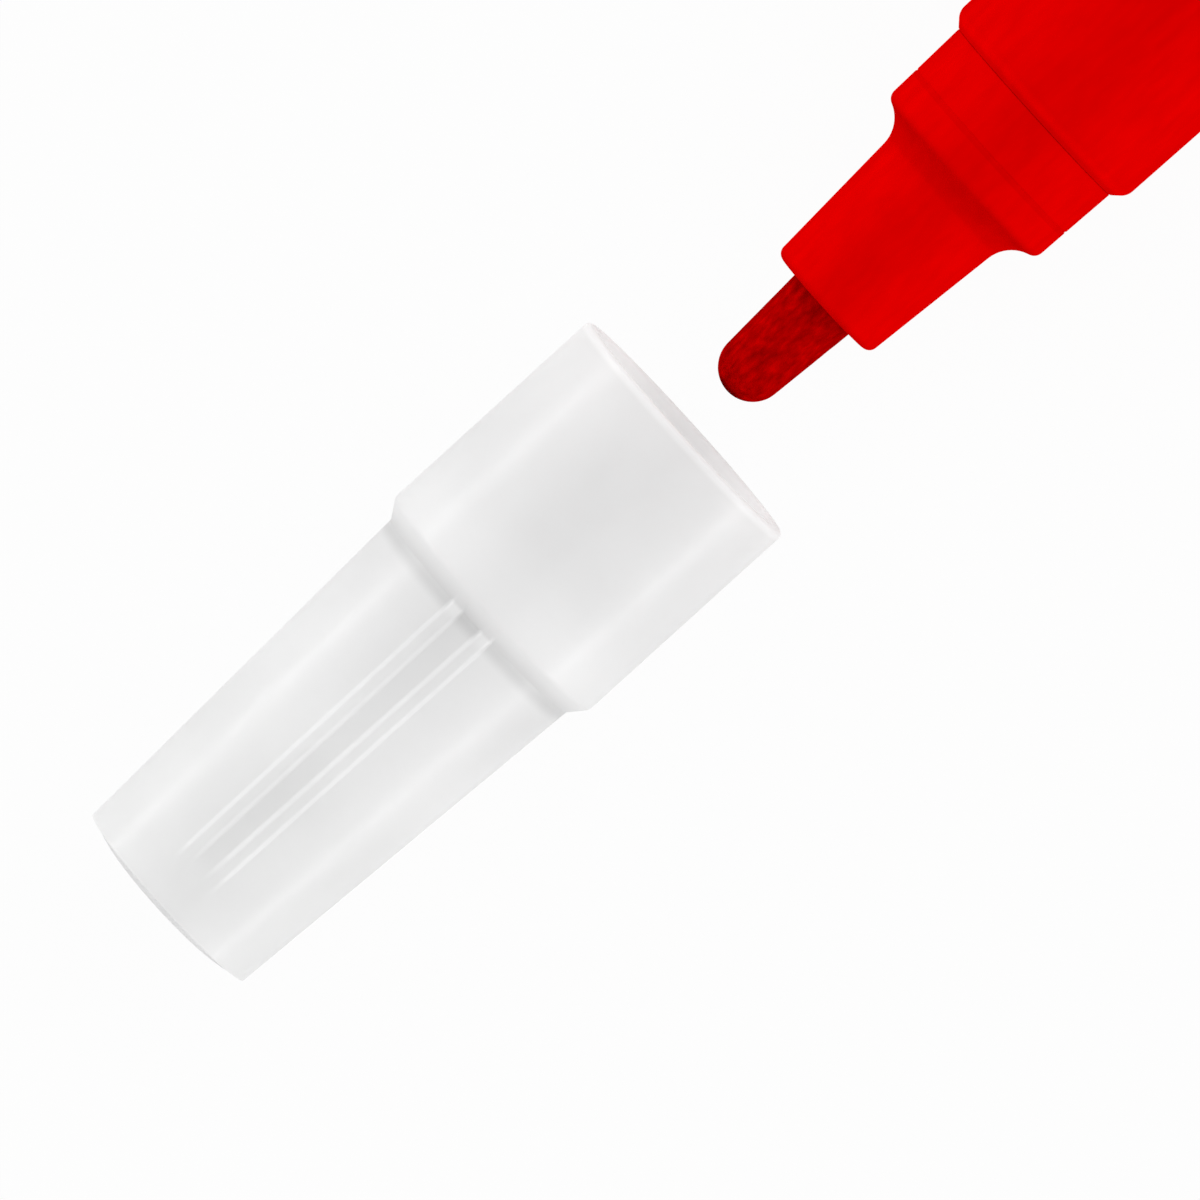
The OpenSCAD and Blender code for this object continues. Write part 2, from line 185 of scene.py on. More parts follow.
def between(x, x0, y0, x1, y1):
    """Value at x on the line through two points."""
    return y0 + (y1 - y0) * (x - x0) / (x1 - x0)


def corner_arc(before, corner, after, radius, steps=10):
    """Points of the arc that eases a corner between two straight runs."""
    back = (before - corner).normalized()
    ahead = (after - corner).normalized()
    half = back.angle(ahead) / 2
    run = radius / math.tan(half)
    centre = corner + (back + ahead).normalized() * radius / math.sin(half)
    start = corner + back * run - centre
    turn = math.pi - 2 * half
    if back.x * ahead.y - back.y * ahead.x > 0:
        turn = -turn
    points = []
    for i in range(steps + 1):
        points.append(centre + Matrix.Rotation(turn * i / steps, 2) @ start)
    return points


def oval_arc(centre, reach, height, steps=20):
    """Points of a quarter oval from its front end to its widest place."""
    points = []
    for i in range(steps + 1):
        a = math.pi / 2 * i / steps
        points.append(centre + Vector((-reach * math.cos(a), height * math.sin(a))))
    return points


def eased(corners):
    """Profile points (x, r) from corners (x, r, radius of the eased corner)."""
    points = []
    for i, (x, r, radius) in enumerate(corners):
        corner = Vector((x, r))
        if radius == 0:
            points.append(corner)
            continue
        before = Vector(corners[i - 1][:2])
        after = Vector(corners[i + 1][:2])
        points.extend(corner_arc(before, corner, after, radius))
    return points


def spaced(points, step):
    """The same profile with points at most a step apart, and one close to each end of a run."""
    guard = 0.08
    result = [points[0]]
    for a, b in zip(points, points[1:]):
        length = (b - a).length
        stops = [1]
        if length > 4 * guard:
            count = math.ceil(length / step)
            between_ends = [i / count for i in range(1, count)]
            stops = [guard / length] + between_ends + [1 - guard / length, 1]
        result += [a.lerp(b, stop) for stop in stops]
    return result


def even_columns(count):
    """Evenly spaced angles round a ring."""
    return [2 * math.pi * i / count for i in range(count)]


def bridge(a, b):
    """Faces between two rings, where a ring of one point lies on the axis."""
    count = max(len(a), len(b))
    faces = []
    for i in range(count):
        j = (i + 1) % count
        if len(a) == 1:
            faces.append((a[0], b[j], b[i]))
        elif len(b) == 1:
            faces.append((a[i], a[j], b[0]))
        else:
            faces.append((a[i], a[j], b[j], b[i]))
    return faces


def turned(profile, columns, relief=None, loop=False):
    """Points and faces of a profile turned about the marker's axis, in millimetres."""
    points = []
    rings = []
    for x, r in profile:
        ring = []
        for angle in columns if r > 0 else [0]:
            out = relief(x, r, angle) if relief and r > 0 else r
            ring.append(len(points))
            points.append((x, out * math.sin(angle), AXIS_Z + out * math.cos(angle)))
        rings.append(ring)
    if loop:
        rings.append(rings[0])
    faces = []
    for a, b in zip(rings, rings[1:]):
        faces.extend(bridge(a, b))
    return points, faces


def piece(name, shape, material, body, node, sharp_angle=35):
    """Object that stands for a CAD node and moves with its body."""
    points, faces = shape
    mesh = bpy.data.meshes.new(name)
    mesh.from_pydata([Vector(p) * MM for p in points], [], faces)
    shell = bmesh.new()
    shell.from_mesh(mesh)
    bmesh.ops.recalc_face_normals(shell, faces=shell.faces)
    shell.to_mesh(mesh)
    shell.free()
    mesh.shade_smooth()
    mesh.set_sharp_from_angle(angle=math.radians(sharp_angle))
    mesh.materials.append(material)
    obj = bpy.data.objects.new(name, mesh)
    bpy.context.scene.collection.objects.link(obj)
    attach(obj, body)
    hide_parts(node)
    return obj


def barrel_shape():
    """Tapered tube with a sloped and rounded shoulder, open at both ends."""
    neck_x = SHOULDER_X + NECK_LEN
    corners = [
        (neck_x, NECK_R, 0),
        (SHOULDER_X, NECK_R, SMALL_EDGE),
        (SHOULDER_X, SHOULDER_R - SHOULDER_DROP, SMALL_EDGE),
        (SHOULDER_X + SHOULDER_DROP, SHOULDER_R, SHOULDER_EDGE),
        (SHOULDER_X + TAPER_LEN, BARREL_R, 0),
        (BARREL_REAR_X, BARREL_R, BARREL_EDGE),
        (BARREL_REAR_X, TAIL_SEAT_R, 0),
        (TAIL_PLUG_X, TAIL_SEAT_R, 0),
        (TAIL_PLUG_X, TAIL_SEAT_R - TAIL_LEDGE, 0),
        (neck_x, NECK_R + BORE_STEP, 0),
    ]
    return turned(spaced(eased(corners), step=2), even_columns(RED_COLUMNS), loop=True)


def nose_r(x):
    """Radius of the nose's taper."""
    return between(x, NOSE_X + NOSE_EDGE, NOSE_FRONT_R, FILLET_X, NOSE_REAR_R)


def collar_r(x):
    """Radius of the collar."""
    return between(x, COLLAR_FULL_X, COLLAR_FRONT_R, SHOULDER_X, COLLAR_REAR_R)


def holder_shape():
    """Slim nose, hollow fillet, collar with a fine line, and the plug inside the barrel."""
    half_turn = math.tan(FILLET_TURN / 2)
    corner_x = FILLET_X + FILLET_R * half_turn
    line_front = LINE_X - LINE_W / 2
    line_rear = LINE_X + LINE_W / 2
    bore_r = NIB_R + SLIDE_GAP
    plug_r = NECK_R - FIT_GAP
    chamber_r = SEAT_R + FIT_GAP
    corners = [
        (CHAMBER_X, bore_r, 0),
        (NOSE_X, bore_r, SMALL_EDGE),
        (NOSE_X, nose_r(NOSE_X), NOSE_EDGE),
        (corner_x, nose_r(corner_x), FILLET_R),
        (COLLAR_FULL_X - COLLAR_EDGE * half_turn, COLLAR_FRONT_R, COLLAR_EDGE),
        (line_front, collar_r(line_front), SMALL_EDGE / 2),
        (LINE_X, collar_r(LINE_X) - LINE_DEPTH, 0),
        (line_rear, collar_r(line_rear), SMALL_EDGE / 2),
        (SHOULDER_X, COLLAR_REAR_R, 2 * FIT_GAP),
        (SHOULDER_X, plug_r, 0),
        (PLUG_REAR_X, plug_r, 0),
        (PLUG_REAR_X, chamber_r, 0),
        (CHAMBER_X, chamber_r, 0),
    ]
    return turned(spaced(eased(corners), step=1), even_columns(RED_COLUMNS), loop=True)


def furrows(x, r, angle, lengthwise, crosswise):
    """Noise at a point of the nib's surface, scaled along the axis and across it."""
    y = r * math.sin(angle)
    z = r * math.cos(angle)
    return noise.noise(Vector((x * lengthwise, y * crosswise, z * crosswise)))


def fibre_relief(x, r, angle):
    """Radius of the nib's surface, furrowed lengthwise by its bonded fibres."""
    depth = 0.03
    bundle_share = 0.6
    bundles = furrows(x, r, angle, lengthwise=0.8, crosswise=2.4)
    strands = furrows(x, r, angle, lengthwise=1.6, crosswise=5)
    height = bundle_share * bundles + (1 - bundle_share) * strands
    return r - depth * (1 + height) / 2


def nib_shape():
    """Bullet of bonded fibre."""
    rear_edge = 0.3
    tip = oval_arc(Vector((TIP_X + NIB_TIP_R, 0)), NIB_TIP_R, NIB_TIP_R)
    shaft = eased([
        (NOSE_X, NIB_R, 0),
        (NIB_REAR_X, NIB_R, rear_edge),
        (NIB_REAR_X, 0, 0),
    ])
    return turned(spaced(tip + shaft, step=0.15), even_columns(NIB_COLUMNS), fibre_relief)


def cap_body_r(x):
    """Radius of the cap's slim body."""
    floor_r = LINER_BASE_R + SLIDE_GAP + CAP_WALL
    return between(x, CAP_X + CAP_FLOOR, floor_r, STEP_X, CAP_STEP_R)


def rib_columns():
    """Angles round a cap ring: close steps over the sides of the ribs, wider ones elsewhere."""
    side_steps = 16
    top_steps = 6
    groove_steps = 6
    round_steps = 150
    body_r = cap_body_r(CAP_X)
    foot = RIB_W / 2 / body_r
    top = (RIB_W / 2 - RIB_SOFT) / body_r
    stops = []
    for centre, rest_steps in ((-RIB_ANGLE / 2, groove_steps), (RIB_ANGLE / 2, round_steps)):
        stops += [
            (centre - foot, side_steps),
            (centre - top, top_steps),
            (centre + top, side_steps),
            (centre + foot, rest_steps),
        ]
    ends = [angle for angle, steps in stops[1:]] + [stops[0][0] + 2 * math.pi]
    angles = []
    for (angle, steps), end in zip(stops, ends):
        angles += [angle + (end - angle) * i / steps for i in range(steps)]
    return angles


def rib_relief(x, r, angle):
    """Radius of the cap's surface with its two ribs, which run into the step."""
    body_r = cap_body_r(x)
    if x > STEP_X + STEP_RUN or r < body_r - CAP_WALL / 2:
        return r
    turn = math.remainder(angle, 2 * math.pi)
    off = abs(abs(turn) - RIB_ANGLE / 2) * r
    across = smooth((RIB_W / 2 - off) / RIB_SOFT)
    rise = smooth((x - CAP_X - RIB_START) / RIB_RAMP)
    return max(r, body_r + RIB_H * across * rise)


def cap_shape():
    """Slim body with a pair of ribs, step, wide skirt and the stepped inside."""
    seat_x = LEDGE_X + CLOSE_GAP - COLLAR_LEN
    relief_x = seat_x - SEAT_RELIEF
    floor_x = CAP_X + CAP_FLOOR
    edge_x = CAP_X + CAP_END_RISE
    edge_r = cap_body_r(edge_x)
    end = [Vector((CAP_X, 0))]
    edge = oval_arc(Vector((edge_x, edge_r - CAP_END_ROUND)), CAP_END_RISE, CAP_END_ROUND)
    sides = eased([
        (edge_x, edge_r, 0),
        (STEP_X, CAP_STEP_R, STEP_ROOT),
        (STEP_X + STEP_RUN, SKIRT_R, STEP_EDGE),
        (MOUTH_X, SKIRT_R, RIM_EDGE),
        (MOUTH_X, SKIRT_R - SKIRT_WALL, 2 * SMALL_EDGE),
        (LEDGE_X, SHOULDER_R + SLIDE_GAP, SMALL_EDGE),
        (LEDGE_X, COLLAR_REAR_R + SLIDE_GAP, SMALL_EDGE),
        (seat_x, COLLAR_FRONT_R + SLIDE_GAP, 0),
        (relief_x, cap_body_r(relief_x) - CAP_WALL, 0),
        (floor_x, cap_body_r(floor_x) - CAP_WALL, 0),
        (floor_x, 0, 0),
    ])
    return turned(spaced(end + edge + sides[1:], step=0.6), rib_columns(), rib_relief)


def liner_shape():
    """Inner cap with a floor, a thin tube and a sealing lip at its mouth."""
    lip_r = nose_r(NOSE_X + LIP_GRIP) + SLIDE_GAP
    bore_r = lip_r + LIP_H
    tube_r = bore_r + LINER_WALL
    floor_x = LINER_X + LINER_FLOOR
    corners = [
        (LINER_X, 0, 0),
        (LINER_X, LINER_BASE_R, SMALL_EDGE),
        (floor_x, LINER_BASE_R, SMALL_EDGE),
        (floor_x, tube_r, SMALL_EDGE),
        (LINER_MOUTH_X, tube_r, 2 * SMALL_EDGE),
        (LINER_MOUTH_X, lip_r, SMALL_EDGE),
        (LINER_MOUTH_X - LIP_LEN / 2, lip_r, SMALL_EDGE),
        (LINER_MOUTH_X - LIP_LEN, bore_r, SMALL_EDGE),
        (floor_x, bore_r, 2 * SMALL_EDGE),
        (floor_x, 0, 0),
    ]
    return turned(spaced(eased(corners), step=1), even_columns(LINER_COLUMNS))


def tail_shape():
    """Plug with a flat head, a shallow dish and the moulding's gate mark in its middle."""
    dish_r = 4.5
    dish_depth = 0.4
    gate_r = 0.9
    gate_h = 0.2
    head_edge = 0.6
    wall = 1.2
    lead_in = 0.5
    plug_r = TAIL_SEAT_R - FIT_GAP
    dish_x = TAIL_X - dish_depth
    floor_x = dish_x - wall
    corners = [
        (dish_x + gate_h, 0, 0),
        (dish_x + gate_h, gate_r, SMALL_EDGE),
        (dish_x, gate_r, FIT_GAP),
        (dish_x, dish_r - dish_depth, 2 * SMALL_EDGE),
        (TAIL_X, dish_r, 2 * SMALL_EDGE),
        (TAIL_X, TAIL_R, head_edge),
        (BARREL_REAR_X, TAIL_R, SMALL_EDGE),
        (BARREL_REAR_X, plug_r, 0),
        (TAIL_PLUG_X + 2 * lead_in, plug_r, 0),
        (TAIL_PLUG_X, plug_r - lead_in, 0),
        (TAIL_PLUG_X, plug_r - wall, 0),
        (floor_x, plug_r - wall, 2 * SMALL_EDGE),
        (floor_x, 0, 0),
    ]
    return turned(spaced(eased(corners), step=1), even_columns(TAIL_COLUMNS))


def spring_shape():
    """Round wire wound into a spring about the axis, with flat cut ends."""
    sides = 12
    steps_per_turn = 40
    steps = round(COIL_TURNS * steps_per_turn)
    coil_r = SPRING_R - WIRE_R
    first = SPRING_X + WIRE_R
    last = SPRING_REAR_X - WIRE_R
    points = []
    rings = []
    for i in range(steps + 1):
        a = 2 * math.pi * i / steps_per_turn
        ring = []
        for k in range(sides):
            b = 2 * math.pi * k / sides
            r = coil_r + WIRE_R * math.cos(b)
            x = between(i, 0, first, steps, last) + WIRE_R * math.sin(b)
            ring.append(len(points))
            points.append((x, r * math.sin(a), AXIS_Z - r * math.cos(a)))
        rings.append(ring)
    faces = [tuple(rings[0]), tuple(reversed(rings[-1]))]
    for a, b in zip(rings, rings[1:]):
        faces.extend(bridge(a, b))
    return points, faces


def linear(*screen_levels):
    """Linear colour from screen levels of 0 to 255, by the sRGB curve."""
    colour = []
    for level in screen_levels:
        share = level / 255
        dark = share / 12.92
        light = ((share + 0.055) / 1.055) ** 2.4
        colour.append(dark if share <= 0.04045 else light)
    return colour + [1]


def grey(level):
    """Linear grey from a screen level."""
    return linear(level, level, level)


def red(level):
    """Linear pure red from a screen level."""
    return linear(level, 0, 0)


def new_material(name, roughness, specular):
    """Material with its node tree and its Principled shader."""
    material = bpy.data.materials.new(name)
    material.use_nodes = True
    tree = material.node_tree
    shader = tree.nodes["Principled BSDF"]
    shader.inputs["Roughness"].default_value = roughness
    shader.inputs["Specular IOR Level"].default_value = specular
    return material, tree, shader


def grain(tree, size, detail=3, stretch=1):
    """Noise with grains of about a size in millimetres, longer along the axis by the stretch."""
    coords = tree.nodes.new("ShaderNodeTexCoord")
    mapping = tree.nodes.new("ShaderNodeMapping")
    mapping.inputs["Scale"].default_value = (1 / stretch, 1, 1)
    texture = tree.nodes.new("ShaderNodeTexNoise")
    texture.inputs["Scale"].default_value = 1 / (size * MM)
    texture.inputs["Detail"].default_value = detail
    tree.links.new(coords.outputs["Object"], mapping.inputs["Vector"])
    tree.links.new(mapping.outputs["Vector"], texture.inputs["Vector"])
    return texture.outputs["Fac"]


def tones(tree, value, stops):
    """Colours at set values of a noise or another value."""
    ramp = tree.nodes.new("ShaderNodeValToRGB")
    elements = ramp.color_ramp.elements
    while len(elements) < len(stops):
        elements.new(0.5)
    for element, (position, colour) in zip(elements, stops):
        element.position = position
        element.color = colour
    tree.links.new(value, ramp.inputs["Fac"])
    return ramp.outputs["Color"]


def two_tones(tree, value, low, high):
    """Colours from a low one to a high one over the usual values of a noise."""
    return tones(tree, value, [(NOISE_LOW, low), (NOISE_HIGH, high)])


def rising(tree, value, start, end):
    """Value that goes softly from 0 to 1 while a length goes from start to end, in millimetres."""
    rise = tree.nodes.new("ShaderNodeMapRange")
    rise.interpolation_type = "SMOOTHSTEP"
    rise.inputs["From Min"].default_value = start * MM
    rise.inputs["From Max"].default_value = end * MM
    tree.links.new(value, rise.inputs["Value"])
    return rise.outputs["Result"]


def along(tree, start, end):
    """Value that goes from 0 to 1 between two places along the axis."""
    coords = tree.nodes.new("ShaderNodeTexCoord")
    parts = tree.nodes.new("ShaderNodeSeparateXYZ")
    tree.links.new(coords.outputs["Object"], parts.inputs["Vector"])
    return rising(tree, parts.outputs["X"], start, end)


def outward(tree, start, end):
    """Value that goes from 0 to 1 between two distances from the axis."""
    coords = tree.nodes.new("ShaderNodeTexCoord")
    offset = tree.nodes.new("ShaderNodeVectorMath")
    offset.operation = "MULTIPLY_ADD"
    offset.inputs[1].default_value = (0, 1, 1)
    offset.inputs[2].default_value = (0, 0, -AXIS_Z * MM)
    radius = tree.nodes.new("ShaderNodeVectorMath")
    radius.operation = "LENGTH"
    tree.links.new(coords.outputs["Object"], offset.inputs[0])
    tree.links.new(offset.outputs["Vector"], radius.inputs[0])
    return rising(tree, radius.outputs["Value"], start, end)


def blended(tree, share, first, second):
    """Colour that goes from one to another with a share."""
    mix = tree.nodes.new("ShaderNodeMixRGB")
    tree.links.new(share, mix.inputs["Fac"])
    tree.links.new(first, mix.inputs["Color1"])
    tree.links.new(second, mix.inputs["Color2"])
    return mix.outputs["Color"]


def banded(tree, outside, inside, start, end, soft):
    """Colour that is another between two places along the axis, with soft ends."""
    front = along(tree, start - soft / 2, start + soft / 2)
    rear = along(tree, end - soft / 2, end + soft / 2)
    return blended(tree, rear, blended(tree, front, outside, inside), outside)


def scaled(tree, value, low, high):
    """Number from a low one to a high one over the usual values of a noise."""
    spread = tree.nodes.new("ShaderNodeMapRange")
    spread.inputs["From Min"].default_value = NOISE_LOW
    spread.inputs["From Max"].default_value = NOISE_HIGH
    spread.inputs["To Min"].default_value = low
    spread.inputs["To Max"].default_value = high
    tree.links.new(value, spread.inputs["Value"])
    return spread.outputs["Result"]


def add_bump(tree, shader, height, depth):
    """Fine relief of a depth in millimetres."""
    bump = tree.nodes.new("ShaderNodeBump")
    bump.inputs["Distance"].default_value = depth * MM
    tree.links.new(height, bump.inputs["Height"])
    tree.links.new(bump.outputs["Normal"], shader.inputs["Normal"])


def let_through(tree, shader, colour, share):
    """Lets a share of the light pass through a thin wall, scattered."""
    through = tree.nodes.new("ShaderNodeBsdfTranslucent")
    mix = tree.nodes.new("ShaderNodeMixShader")
    mix.inputs["Fac"].default_value = share
    tree.links.new(colour, through.inputs["Color"])
    tree.links.new(shader.outputs["BSDF"], mix.inputs[1])
    tree.links.new(through.outputs["BSDF"], mix.inputs[2])
    tree.links.new(mix.outputs["Shader"], tree.nodes["Material Output"].inputs["Surface"])


def red_plastic():
    """Pigmented red moulding with flow streaks and a satin skin; painted shade in the hollow and
    at the fine line, painted light on the shoulder's slope.
    """
    material, tree, shader = new_material("red_plastic", roughness=0.5, specular=0)
    streaks = grain(tree, size=0.8, detail=5, stretch=3)
    plain = two_tones(tree, streaks, red(214), red(224))
    # This darker red is painted shade for the hollow under the collar and a strip in front of the
    # fine line.
    painted_shade = two_tones(tree, streaks, red(206), red(215))
    # This lighter red is painted light for the shoulder's rounded slope.
    painted_light = two_tones(tree, streaks, red(230), red(240))
    lip_x = SHOULDER_X + SHOULDER_LIP
    # Painted shade in the hollow, then in the strip in front of the fine line.
    colour = banded(tree, plain, painted_shade, FILLET_X + HOLLOW_BACK, COLLAR_X + SMALL_EDGE, HOLLOW_SOFT)
    colour = banded(tree, colour, painted_shade, LINE_X - LINE_SHADE, LINE_X, LINE_SOFT)
    # Painted light over the shoulder's slope, fading back to the plain red.
    slope = blended(tree, along(tree, lip_x, SHOULDER_X + SHOULDER_EDGE), painted_light, plain)
    colour = blended(tree, along(tree, SHOULDER_X + SMALL_EDGE, lip_x), colour, slope)
    tree.links.new(colour, shader.inputs["Base Color"])
    skin = grain(tree, size=0.25, detail=2)
    tree.links.new(scaled(tree, skin, low=0.42, high=0.58), shader.inputs["Roughness"])
    add_bump(tree, shader, skin, depth=0.002)
    return material


def red_fibre():
    """Fibres full of red paint: dark strands, lighter ones, open pores, and painted shade that
    darkens the apex.
    """
    material, tree, shader = new_material("red_fibre", roughness=0.85, specular=0)
    strands = grain(tree, size=0.4, detail=4, stretch=2)
    # The darkest red is painted shade, laid on the apex.
    painted_tip_shade = two_tones(tree, strands, red(70), red(120))
    fibres = tones(tree, strands, [
        (0.28, red(138)),
        (0.45, red(162)),
        (0.58, red(176)),
        (0.74, red(200)),
    ])
    # Painted shade over the apex, fading out along the axis.
    tip_shade_share = along(tree, TIP_X, TIP_X + TIP_SHADE_LEN)
    tree.links.new(blended(tree, tip_shade_share, painted_tip_shade, fibres), shader.inputs["Base Color"])
    pores = grain(tree, size=0.2, detail=3, stretch=2)
    add_bump(tree, shader, pores, depth=0.03)
    return material


def milky_plastic():
    """Milky, slightly see-through moulding: painted light makes it palest over the liner, by the
    step and at the rim; painted shade makes it duller at the step.
    """
    material, tree, shader = new_material("milky_plastic", roughness=0.3, specular=0.5)
    clouds = grain(tree, size=4, detail=1, stretch=2)
    pale = two_tones(tree, clouds, grey(250), grey(253))
    # This duller grey is painted shade for the body towards the step.
    painted_shade = two_tones(tree, clouds, grey(242), grey(246))
    # This darkest grey is painted shade for the foot of the step.
    foot = two_tones(tree, clouds, grey(224), grey(228))
    faded = two_tones(tree, clouds, grey(241), grey(245))
    # Painted light makes the skirt palest next to the step.
    skirt = blended(tree, along(tree, STEP_X + STEP_RUN, STEP_X + SKIRT_FADE), pale, faded)
    # Painted shade from the step's foot fades over the slope into the skirt.
    slope = blended(tree, along(tree, STEP_X - STEP_SHADE / 2, STEP_X + STEP_RUN), foot, skirt)
    # The ribs keep the pale tone where they cross the painted shade in front of the step.
    step = blended(tree, outward(tree, CAP_STEP_R, CAP_STEP_R + RIB_H), foot, pale)
    step = blended(tree, along(tree, STEP_X - SMALL_EDGE, STEP_X + SMALL_EDGE), step, slope)
    # Painted shade darkens the body towards the step; the closed end over the liner stays palest.
    colour = blended(tree, along(tree, STEP_X - BODY_SHADE, STEP_X), pale, painted_shade)
    colour = blended(tree, along(tree, STEP_X - STEP_SHADE, STEP_X - STEP_ROOT), colour, step)
    # Painted highlight along the mouth's rim.
    colour = blended(tree, along(tree, MOUTH_X - RIM_HIGHLIGHT, MOUTH_X - RIM_EDGE), colour, pale)
    tree.links.new(colour, shader.inputs["Base Color"])
    let_through(tree, shader, colour, MILKY_SHARE)
    skin = grain(tree, size=1.5, detail=0)
    tree.links.new(scaled(tree, skin, low=0.28, high=0.34), shader.inputs["Roughness"])
    return material


def milky_inside():
    """Inside of the milky moulding, which light reaches through the wall."""
    material, tree, shader = new_material("milky_inside", roughness=0.45, specular=0.3)
    clouds = grain(tree, size=4, detail=1, stretch=2)
    colour = two_tones(tree, clouds, grey(249), grey(252))
    tree.links.new(colour, shader.inputs["Base Color"])
    let_through(tree, shader, colour, MILKY_SHARE)
    return material


def line_inside(obj, material):
    """Gives the faces that look towards the axis their own material."""
    obj.data.materials.append(material)
    for face in obj.data.polygons:
        out = Vector((0, face.center.y, face.center.z - AXIS_Z * MM))
        if out.dot(face.normal) < 0:
            face.material_index = len(obj.data.materials) - 1


def liner_plastic():
    """Soft natural polyethylene of the inner cap."""
    material, tree, shader = new_material("liner_plastic", roughness=0.5, specular=0.4)
    clouds = grain(tree, size=2.5)
    colour = two_tones(tree, clouds, linear(228, 229, 227), linear(240, 240, 238))
    tree.links.new(colour, shader.inputs["Base Color"])
    add_bump(tree, shader, grain(tree, size=0.4), depth=0.004)
    return material


def seal_rubber():
    """Black rubber with a dusty, uneven bloom."""
    material, tree, shader = new_material("seal_rubber", roughness=0.8, specular=0.3)
    bloom = grain(tree, size=0.5)
    colour = tones(tree, bloom, [
        (0.3, linear(28, 28, 30)),
        (0.75, linear(58, 58, 60)),
    ])
    tree.links.new(colour, shader.inputs["Base Color"])
    add_bump(tree, shader, grain(tree, size=0.12), depth=0.01)
    return material


def valve_plastic():
    """Ivory engineering plastic, stained a little by the paint."""
    material, tree, shader = new_material("valve_plastic", roughness=0.4, specular=0.45)
    stain = grain(tree, size=1.6, detail=5)
    colour = tones(tree, stain, [
        (0.35, linear(236, 232, 220)),
        (0.62, linear(232, 222, 212)),
        (0.8, linear(226, 160, 152)),
    ])
    tree.links.new(colour, shader.inputs["Base Color"])
    add_bump(tree, shader, grain(tree, size=0.3), depth=0.004)
    return material


def steel():
    """Bright drawn steel with fine drawing marks."""
    material, tree, shader = new_material("steel", roughness=0.25, specular=0.5)
    shader.inputs["Metallic"].default_value = 1
    marks = grain(tree, size=0.15, detail=4, stretch=2)
    colour = two_tones(tree, marks, linear(176, 177, 180), linear(206, 206, 208))
    tree.links.new(colour, shader.inputs["Base Color"])
    tree.links.new(scaled(tree, marks, low=0.18, high=0.36), shader.inputs["Roughness"])
    return material


def paint_node(node, material):
    """Gives a CAD node that stays its material."""
    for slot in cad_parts[node].material_slots:
        slot.material = material


def seen_background(tree):
    """Value that is 1 for rays that show the background: camera, glossy and transmission rays."""
    path = tree.nodes.new("ShaderNodeLightPath")
    value = path.outputs["Is Camera Ray"]
    for name in ("Is Glossy Ray", "Is Transmission Ray"):
        either = tree.nodes.new("ShaderNodeMath")
        either.operation = "MAXIMUM"
        tree.links.new(value, either.inputs[0])
        tree.links.new(path.outputs[name], either.inputs[1])
        value = either.outputs["Value"]
    return value


def add_floor():
    """Wide white floor that shows only a faint shadow."""
    half = 6
    white_share = 0.96
    paper_level = 212
    paper_roughness = 0.9
    mesh = bpy.data.meshes.new("floor")
    mesh.from_pydata(
        [(-half, -half, 0), (half, -half, 0), (half, half, 0), (-half, half, 0)],
        [],
        [(0, 1, 2, 3)],
    )
    material = bpy.data.materials.new("floor")
    material.use_nodes = True
    tree = material.node_tree
    paper = tree.nodes["Principled BSDF"]
    paper.inputs["Base Color"].default_value = grey(paper_level)
    paper.inputs["Roughness"].default_value = paper_roughness
    paper.inputs["Specular IOR Level"].default_value = 0
    white = tree.nodes.new("ShaderNodeEmission")
    share = tree.nodes.new("ShaderNodeMath")
    share.operation = "MULTIPLY"
    share.inputs[1].default_value = white_share
    mix = tree.nodes.new("ShaderNodeMixShader")
    tree.links.new(seen_background(tree), share.inputs[0])
    tree.links.new(share.outputs["Value"], mix.inputs["Fac"])
    tree.links.new(paper.outputs["BSDF"], mix.inputs[1])
    tree.links.new(white.outputs["Emission"], mix.inputs[2])
    tree.links.new(mix.outputs["Shader"], tree.nodes["Material Output"].inputs["Surface"])
    mesh.materials.append(material)
    floor = bpy.data.objects.new("floor", mesh)
    bpy.context.scene.collection.objects.link(floor)


def add_world(fill):
    """White surroundings that light the object with a plain fill."""
    world = bpy.data.worlds.new("studio")
    world.use_nodes = True
    tree = world.node_tree
    background = tree.nodes["Background"]
    background.inputs["Color"].default_value = (1, 1, 1, 1)
    strength = tree.nodes.new("ShaderNodeMapRange")
    strength.inputs["To Min"].default_value = fill
    strength.inputs["To Max"].default_value = 1
    tree.links.new(seen_background(tree), strength.inputs["Value"])
    tree.links.new(strength.outputs["Result"], background.inputs["Strength"])
    bpy.context.scene.world = world


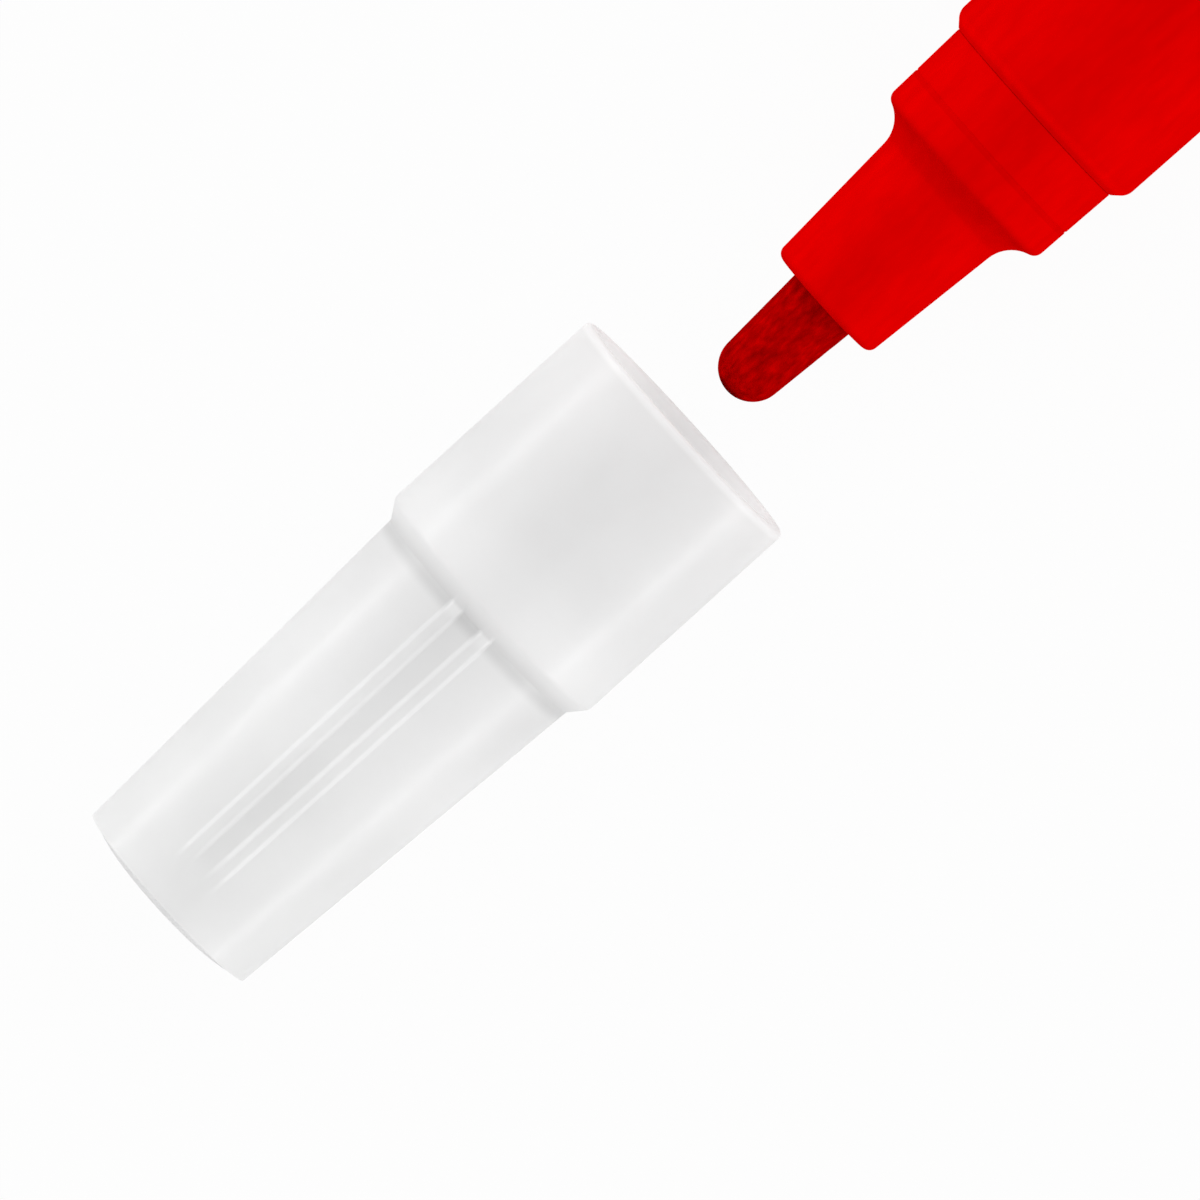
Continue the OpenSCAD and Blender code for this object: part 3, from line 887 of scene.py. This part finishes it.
def add_lamp(name, azimuth, elevation, distance, size, radiance):
    """Soft lamp of a set brightness that faces the middle of the photographed part."""
    width, height = size
    turn = math.radians(azimuth)
    rise = math.radians(elevation)
    towards = Vector((
        math.cos(rise) * math.cos(turn),
        math.cos(rise) * math.sin(turn),
        math.sin(rise),
    ))
    lamp = bpy.data.lights.new(name, "AREA")
    lamp.shape = "RECTANGLE"
    lamp.size = width
    lamp.size_y = height
    lamp.energy = radiance * math.pi * width * height
    obj = bpy.data.objects.new(name, lamp)
    obj.location = AIM + towards * distance
    obj.rotation_mode = "QUATERNION"
    obj.rotation_quaternion = (-towards).to_track_quat("-Z", "Y")
    obj.visible_camera = False
    bpy.context.scene.collection.objects.link(obj)


def add_camera():
    """Long lens over the marker, turned so that the axis runs to the upper right."""
    lens = 500
    sensor = 36
    far = 20
    frame_width = 74.07 * MM
    tilt = math.radians(3.8)
    turn = math.radians(42.2)
    back = Vector((math.sin(tilt), 0, math.cos(tilt)))
    ahead = (Vector((1, 0, 0)) - back * back.x).normalized()
    aside = back.cross(ahead)
    right = ahead * math.cos(turn) - aside * math.sin(turn)
    up = ahead * math.sin(turn) + aside * math.cos(turn)
    camera = bpy.data.cameras.new("camera")
    camera.lens = lens
    camera.sensor_width = sensor
    camera.clip_end = far
    obj = bpy.data.objects.new("camera", camera)
    place = AIM + back * frame_width * lens / sensor
    axes = Matrix((right, up, back)).transposed().to_4x4()
    obj.matrix_world = Matrix.Translation(place) @ axes
    bpy.context.scene.collection.objects.link(obj)
    bpy.context.scene.camera = obj


RED = red_plastic()
piece("barrel_tube", barrel_shape(), RED, "marker", "barrel")
piece("nose_and_collar", holder_shape(), RED, "marker", "front_holder")
piece("tail_cover", tail_shape(), RED, "marker", "tail_plug")
piece("fibre_nib", nib_shape(), red_fibre(), "pump", "nib")
cap = piece(
    "ribbed_cap", cap_shape(), milky_plastic(), "cap", "cap_shell", sharp_angle=60
)
line_inside(cap, milky_inside())
piece("cap_liner", liner_shape(), liner_plastic(), "cap", "inner_cap")
STEEL = steel()
spring = piece("wire_spring", spring_shape(), STEEL, "marker", "valve_spring")
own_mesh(spring)
paint_node("mixing_ball", STEEL)
paint_node("valve_seat", seal_rubber())
VALVE = valve_plastic()
for node in ("valve_stem", "valve_case", "spring_retainer"):
    paint_node(node, VALVE)

add_floor()
add_world(fill=0.68)
add_lamp("key", azimuth=0, elevation=55, distance=1.1, size=(1.2, 0.35), radiance=2.1)
for name, azimuth, elevation in (("left", 90, 9), ("right", -90, 6)):
    add_lamp(name, azimuth, elevation, distance=0.5, size=(0.7, 0.07), radiance=7)
add_camera()
bpy.context.scene.view_settings.view_transform = "Standard"
